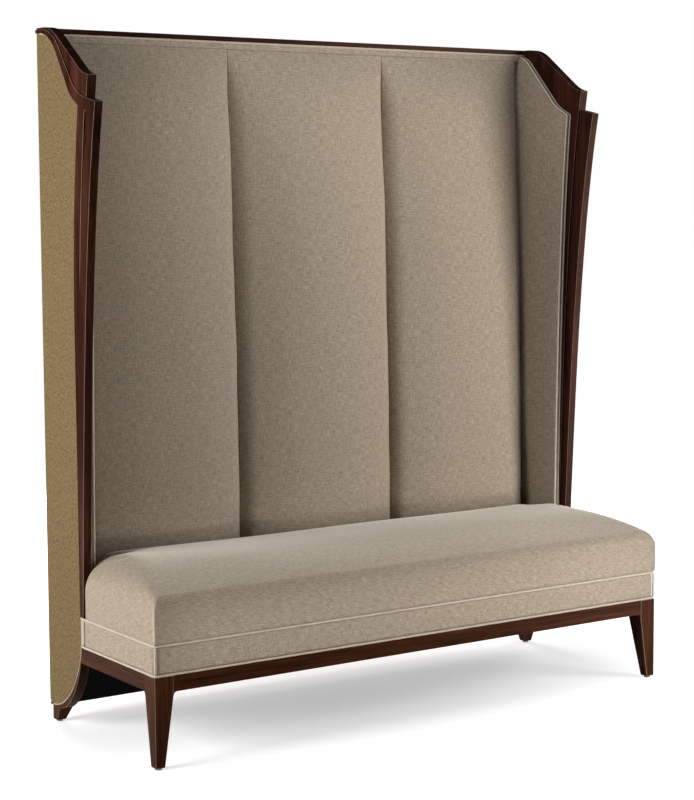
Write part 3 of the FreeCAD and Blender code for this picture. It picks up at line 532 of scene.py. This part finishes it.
def seat_cover():
    """Tight seat: over the plan, the lower of a front profile and an end profile, blended softly where they meet.
    Front profile: upright wall, a roll of 70 degrees and a parabola tangent to it. End profile: upright wall and
    a quarter ellipse. Behind, the plan narrows between the wing pads; walls and a flat underside close it."""
    wall, roll, rolled = 0.087, 0.036, math.radians(70)
    end_wall, end_run, end_rise = 0.074, 0.122, 0.096
    crown_place, crown_rise, rear_rise = 0.268, 0.1665, 0.152
    depth_end = seat_rear_y - front_y
    bend = np.linspace(0, rolled, 16)
    lip = roll * (1 - math.cos(rolled))
    t = np.concatenate([roll * (1 - np.cos(bend)), np.linspace(lip, depth_end, 70)[1:]])
    lip_rise = wall + roll * math.sin(rolled)
    first = (crown_rise - lip_rise) / (crown_place - lip)
    second = (rear_rise - crown_rise) / (depth_end - crown_place)
    fall = (first - second) / (depth_end - lip)
    run = t - lip
    parabola = lip_rise + (first + fall * (crown_place - lip)) * run - fall * run ** 2
    front_rise = np.where(t <= lip, wall + np.sqrt(np.clip(roll ** 2 - (roll - t) ** 2, 0, None)), parabola)
    share_half = np.concatenate([end_run * (1 - np.cos(np.linspace(0, math.pi / 2, 30))),
                                 np.linspace(end_run, side_x, 70)[1:]])
    share = np.concatenate([share_half / side_x - 1, 1 - share_half[::-1][1:] / side_x])
    rear_half = wing_in - 0.040
    half_width = side_x - (side_x - rear_half) * smooth((t - 0.383) / 0.018)
    x = share[None, :] * half_width[:, None]
    y = front_y + np.broadcast_to(t[:, None], x.shape)
    gap = np.clip(half_width[:, None] - np.abs(x), 0, None)
    front = np.broadcast_to(front_rise[:, None], x.shape)
    end = end_wall + end_rise * quarter(gap / end_run)
    soft = 0.012
    top = np.minimum(front, end) - soft / 4 * np.clip(1 - np.abs(front - end) / soft, 0, 1) ** 2
    top = top + 0.0012 * ripple(8 * x + 3 * y, 17 * y + 4 * x) * smooth(gap / 0.1) * smooth(t / 0.1)[:, None]
    crest = np.stack([x, y, deck_z + top], axis=-1)
    shares = np.linspace(0, 1, 9)[:-1, None, None]

    def wall_below(line):
        """Rows from the deck straight up to an edge line."""
        foot = line * np.array([1, 1, 0]) + np.array([0, 0, deck_z])
        return foot + (line - foot) * shares

    body = np.concatenate([wall_below(crest[0]), crest, wall_below(crest[-1])[::-1]])
    left = wall_below(body[:, 0]).transpose(1, 0, 2)
    right = wall_below(body[:, -1])[::-1].transpose(1, 0, 2)
    points = np.concatenate([left, body, right], axis=1)
    uv = np.stack([run_length(points), run_length(points.transpose(1, 0, 2)).T], axis=-1)
    under = crest[::-1] * np.array([1, 1, 0]) + np.array([0, 0, deck_z])
    rows, cols = crest.shape[:2]
    low, ends = len(shares), slice(len(shares), len(shares) + rows)
    middle, left_end = (slice(None), slice(low, low + cols)), (ends, slice(0, low + 1))
    right_end = (ends, slice(low + cols - 1, None))
    return *((points[part], uv[part]) for part in (left_end, middle, right_end)), (under, under[..., :2])


def seat_free(x, y, z):
    """How freely the seat's cover moves: fully on the crown, not at its walls, its rear edge and the deck."""
    rear = seat_rear_y - y
    return smooth((z - deck_z - 0.09) / 0.05) * smooth((y - front_y - 0.01) / 0.06) * smooth((rear - 0.01) / 0.05)


seat_piece = grid_mesh("seat_cover", *seat_cover())
stuffed(seat_piece, seat_free, 0.004)
finish_piece(seat_piece, taupe, ["seat_cushion"])


def band_cover(corner_a, corner_b, outward, low, high, puff):
    """Boxing band: a straight run between two plan points, its face a shallow pillow, its rear flat."""
    a, b, normal = (np.asarray(v, float) for v in (corner_a, corner_b, outward))
    length = np.linalg.norm(b - a)
    count = max(int(length / 0.012), 8)
    along = np.linspace(0, 1, count)
    up = np.concatenate([np.linspace(0, 0.12, 5), np.linspace(0.12, 0.88, 9)[1:-1], np.linspace(0.88, 1, 5)])
    height = low + (high - low) * up
    ends = np.clip(np.minimum(along, 1 - along) * length / 0.006, 0, 1)
    swell = puff * quarter(np.minimum(up, 1 - up) / 0.16)[None, :] * quarter(ends)[:, None]
    base = a[None, :] + (b - a)[None, :] * along[:, None]
    face = np.zeros((count, len(up), 3))
    face[..., :2] = base[:, None, :] + normal * (swell - puff)[..., None]
    face[..., 2] = height[None, :]
    rear = np.zeros_like(face)
    rear[..., :2] = base[:, None, :] - normal * 0.0072
    rear[..., 2] = height[None, :]
    points = np.concatenate([face, rear[:, ::-1]], axis=1)
    reach = np.broadcast_to((along * length)[:, None], points.shape[:2])
    return points, np.stack([reach, run_length(points)], axis=-1)


band_low, band_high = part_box("front_boxing")[0].z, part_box("front_boxing")[1].z
band_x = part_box("front_boxing")[1].x
band_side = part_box("right_side_boxing")
bands = [("front_band", (-band_x, front_y), (band_x, front_y), (0, -1), "front_boxing"),
         ("right_band", (side_x, band_side[0].y), (side_x, band_side[1].y), (1, 0), "right_side_boxing"),
         ("left_band", (-side_x, band_side[1].y), (-side_x, band_side[0].y), (-1, 0), "left_side_boxing")]
for name, start, end, outward, node_name in bands:
    piece = grid_mesh(name, band_cover(start, end, outward, band_low, band_high, 0.0040), loop=True, flip=True)
    finish_piece(piece, taupe, [node_name])


# Piping


def piping(name, line, radius, stands_for=(), cloth=piping_cloth):
    """Cord in a cloth sleeve: a circle carried along a line, square to it, slightly uneven in thickness."""
    line = np.asarray(line, float)
    along = np.gradient(line, axis=0)
    along /= np.linalg.norm(along, axis=1, keepdims=True)
    spread = line.max(axis=0) - line.min(axis=0)
    across = np.zeros(3)
    across[int(np.argmin(spread))] = 1.0
    first = np.cross(along, across)
    first /= np.linalg.norm(first, axis=1, keepdims=True)
    second = np.cross(along, first)
    turn = np.linspace(0, 2 * math.pi, 11)[:-1]
    run = np.concatenate([[0], np.cumsum(np.linalg.norm(np.diff(line, axis=0), axis=1))])
    thick = radius * (1 + 0.05 * ripple(90 * run, 210 * run))
    ring = first[:, None, :] * np.cos(turn)[None, :, None] + second[:, None, :] * np.sin(turn)[None, :, None]
    points = line[:, None, :] + ring * thick[:, None, None]
    uv = np.stack([np.broadcast_to(run[:, None], points.shape[:2]),
                   np.broadcast_to(turn[None, :] * radius, points.shape[:2])], axis=-1)
    return finish_piece(grid_mesh(name, (points, uv), loop=True), cloth, stands_for)


def seat_outline(z, end_y):
    """Line round the seat's right end, front and left end, with a small bend at each corner."""
    inset, bend = 0.0008, 0.010
    x, y = side_x - inset, front_y + inset
    turn = np.linspace(0, math.pi / 2, 8)
    corner = np.stack([x - bend + bend * np.cos(turn), y + bend - bend * np.sin(turn)], axis=1)
    right = np.concatenate([[[x, end_y]], corner])
    plan = np.concatenate([right, (right * np.array([-1, 1]))[::-1]])
    plan = spaced(plan, 420)
    return np.column_stack([plan, np.full(len(plan), z)])


piping("seat_piping", seat_outline(seam_z, wing_front_y - 0.001), seat_piping_radius, ["seat_seam_welt"])
piping("rail_piping", seat_outline(rail_top + piping_radius, wing_front_y - 0.001), seat_piping_radius, ["rail_welt"])


def upright_line(x, y, low, high):
    """Straight line up from one height to another."""
    z = np.linspace(low, high, 12)
    return np.column_stack([np.full_like(z, x), np.full_like(z, y), z])


edge_x, edge_y = side_x - 0.0030, front_y + 0.0030
places = [("front", edge_y), ("end_a", wing_front_y - 0.0037), ("end_b", wing_front_y - 0.0108)]
for label, place_y in places:
    for side_name, sign in sides:
        line = upright_line(sign * edge_x, place_y, band_low, band_high)
        stands_for = ["upright_welts"] if (label, sign) == ("front", -1) else []
        piping(f"{side_name}_{label}_band_piping", line, upright_radius, stands_for)
for side_name, sign in sides:
    line = upright_line(sign * (side_x - 0.0008), front_y + 0.0008, deck_z + 0.003, deck_z + 0.090)
    piping(f"{side_name}_corner_seam", line, seam_radius)


def pad_line(inset, depth):
    """Line beside the wing pad's front and ogee edge, at a depth off the wing board."""
    line = spaced(pad_edge, 240)
    keep = back_y - line[:, 0] < lean_y(line[:, 1]) - channel_layer - 0.004
    line = line[keep]
    return np.column_stack([np.full(len(line), wing_in - depth), back_y - line[:, 0] - inset, line[:, 1]])


# The pad cords take the lightened cloth: painted sheen and painted light
for side_name, sign in sides:
    for label, inset, depth in (("board", 0.0014, 0.0032), ("face", 0.0010, 0.0152)):
        line = pad_line(inset, depth) * np.array([sign, 1, 1])
        piping(f"{side_name}_pad_{label}_piping", line, seam_radius, cloth=painted_sheen_cord)

panel_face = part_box("right_outside_wing_panel")[1].x
panel_corner, panel_front, straight_top = (0.248, wing_top - 0.215), 0.206, 1.100
panel_fall = (panel_corner[1] - straight_top) / 3
panel_edge = np.concatenate([
    ogee_line((0.020, wing_top - 0.015), panel_corner, 56, 0.126, 0.026, 31),
    bezier_line([panel_corner, (0.218, panel_corner[1] - panel_fall), (panel_front, straight_top + panel_fall),
                 (panel_front, straight_top)], 60)[1:],
    bezier_line([(panel_front, 0.270), (panel_front, 0.159), (0.115, 0.048), (0.024, 0.048)], 40)])
panel_edge = spaced(panel_edge, 460)
for side_name, sign in sides:
    line = np.column_stack([np.full(len(panel_edge), sign * panel_face), back_y - panel_edge[:, 0] + 0.0012,
                            panel_edge[:, 1] - 0.0008])
    piping(f"{side_name}_panel_piping", line, panel_radius, cloth=gold_edge)

top_span = np.linspace(-wing_in + 0.003, wing_in - 0.003, 300)
top_seam_z = post_top - 0.0025
top_seam_y = lean_y(top_seam_z) - channel_layer - band_depth - 0.0005
line = np.column_stack([top_span, np.full_like(top_span, top_seam_y), np.full_like(top_span, top_seam_z)])
piping("top_piping", line, seam_radius)


# Stage, light and camera

floor_mesh = bpy.data.meshes.new("floor")
reach = 30.0
floor_mesh.from_pydata([(-reach, -reach, 0), (reach, -reach, 0), (reach, reach, 0), (-reach, reach, 0)], [],
                       [(0, 1, 2, 3)])
floor = bpy.data.objects.new("floor", floor_mesh)
bpy.context.scene.collection.objects.link(floor)
floor_material, floor_nodes, floor_link, floor_shader = material_nodes("pale_floor")
floor_shader.inputs["Base Color"].default_value = (0.80, 0.80, 0.80, 1.0)
floor_shader.inputs["Roughness"].default_value = 1.0
floor_shader.inputs["Specular IOR Level"].default_value = 0.0
# Painted light and painted shade: the floor glows for camera rays only, dim in an ellipse round the settee's foot as
# a painted shade pool, and rising to full white further away
painted_floor_glow = floor_nodes.new("ShaderNodeEmission")
painted_floor_glow.inputs["Color"].default_value = (1.0, 1.0, 1.0, 1.0)
seen = floor_nodes.new("ShaderNodeLightPath").outputs["Is Camera Ray"]
away = floor_nodes.new("ShaderNodeVectorMath")
away.operation = "LENGTH"
narrowed = floor_nodes.new("ShaderNodeMapping")
narrowed.inputs["Location"].default_value = (0.056, -0.106, 0.0)
narrowed.inputs["Scale"].default_value = (0.302, 1.0, 1.0)
floor_link(floor_nodes.new("ShaderNodeTexCoord").outputs["Object"], narrowed.inputs["Vector"])
floor_link(narrowed.outputs["Vector"], away.inputs[0])
painted_floor_shade_ramp = floor_nodes.new("ShaderNodeMapRange")
painted_floor_shade_ramp.interpolation_type = "SMOOTHSTEP"
for socket, value in zip(("From Min", "From Max", "To Min", "To Max"), (0.107, 0.821, 0.415, 1.0)):
    painted_floor_shade_ramp.inputs[socket].default_value = value
floor_link(away.outputs["Value"], painted_floor_shade_ramp.inputs["Value"])
floor_link(combined(floor_nodes, floor_link, "MULTIPLY", seen, painted_floor_shade_ramp.outputs["Result"]), painted_floor_glow.inputs["Strength"])
both = floor_nodes.new("ShaderNodeAddShader")
floor_link(floor_shader.outputs["BSDF"], both.inputs[0])
floor_link(painted_floor_glow.outputs["Emission"], both.inputs[1])
floor_link(both.outputs["Shader"], floor_nodes["Material Output"].inputs["Surface"])
floor_mesh.materials.append(floor_material)

world = bpy.data.worlds.new("studio")
bpy.context.scene.world = world
world.use_nodes = True
world_nodes, world_link = world.node_tree.nodes, world.node_tree.links.new
background = world_nodes["Background"]
path = world_nodes.new("ShaderNodeLightPath")
shown = combined(world_nodes, world_link, "MAXIMUM", path.outputs["Is Camera Ray"],
                 path.outputs["Is Transmission Ray"])
strength = combined(world_nodes, world_link, "MAXIMUM", shown, 0.03)
background.inputs["Color"].default_value = (1.0, 1.0, 1.0, 1.0)
world_link(strength, background.inputs["Strength"])


def soft_lamp(name, place, target, width, height, power, spread=180):
    """Rectangular lamp aimed at a point, its light held to a spread in degrees."""
    data = bpy.data.lights.new(name, "AREA")
    data.shape = "RECTANGLE"
    data.size, data.size_y = width, height
    data.energy = power
    data.spread = math.radians(spread)
    lamp = bpy.data.objects.new(name, data)
    lamp.visible_camera = False
    bpy.context.scene.collection.objects.link(lamp)
    eye, aim = np.asarray(place, float), np.asarray(target, float)
    back = (eye - aim) / np.linalg.norm(eye - aim)
    right = np.cross((0, 0, 1), back)
    right /= np.linalg.norm(right)
    turn = np.eye(4)
    turn[:3, 0], turn[:3, 1], turn[:3, 2], turn[:3, 3] = right, np.cross(back, right), back, eye
    lamp.matrix_world = Matrix(turn.tolist())


soft_lamp("key", (1.85, -1.64, 1.1), (0.35, 0.2, 1.0), 1.0, 2.2, 17.0, 85)
soft_lamp("fill", (-4.1, 0.15, 1.85), (-0.85, 0.0, 0.5), 2.0, 2.0, 161)
soft_lamp("low", (0.0, -1.5, 0.32), (0.0, -0.3, 0.32), 1.7, 0.2, 0.60, 20)
soft_lamp("rear", (0.4, 4.4, 1.6), (0.0, 0.3, 0.95), 2.0, 2.0, 130)
soft_lamp("right", (4.2, 1.5, 1.4), (0.85, 0.1, 0.9), 1.5, 2.0, 55)
soft_lamp("high", (0.0, -1.5, 2.65), (0.05, 0.25, 1.73), 1.2, 0.3, 1.1, 37)

camera_data = bpy.data.cameras.new("camera")
camera = bpy.data.objects.new("camera", camera_data)
bpy.context.scene.collection.objects.link(camera)
bpy.context.scene.camera = camera
image_height, focal_pixels = 800.0, 1961.79
camera_data.sensor_width = 36.0
camera_data.lens = focal_pixels / image_height * camera_data.sensor_width
camera_data.clip_end = 100.0
yaw, pitch, roll = (math.radians(angle) for angle in (34.1186, 5.98966, -0.26993))
ahead = np.array([math.sin(yaw) * math.cos(pitch), math.cos(yaw) * math.cos(pitch), -math.sin(pitch)])
level = np.array([math.cos(yaw), -math.sin(yaw), 0.0])
above = np.cross(level, ahead)
aim = np.eye(4)
aim[:3, 0] = level * math.cos(roll) + above * math.sin(roll)
aim[:3, 1] = above * math.cos(roll) - level * math.sin(roll)
aim[:3, 2] = -ahead
aim[:3, 3] = (-3.15456, -4.57863, 1.44853)
camera.matrix_world = Matrix(aim.tolist())

bpy.context.scene.view_settings.view_transform = "Standard"
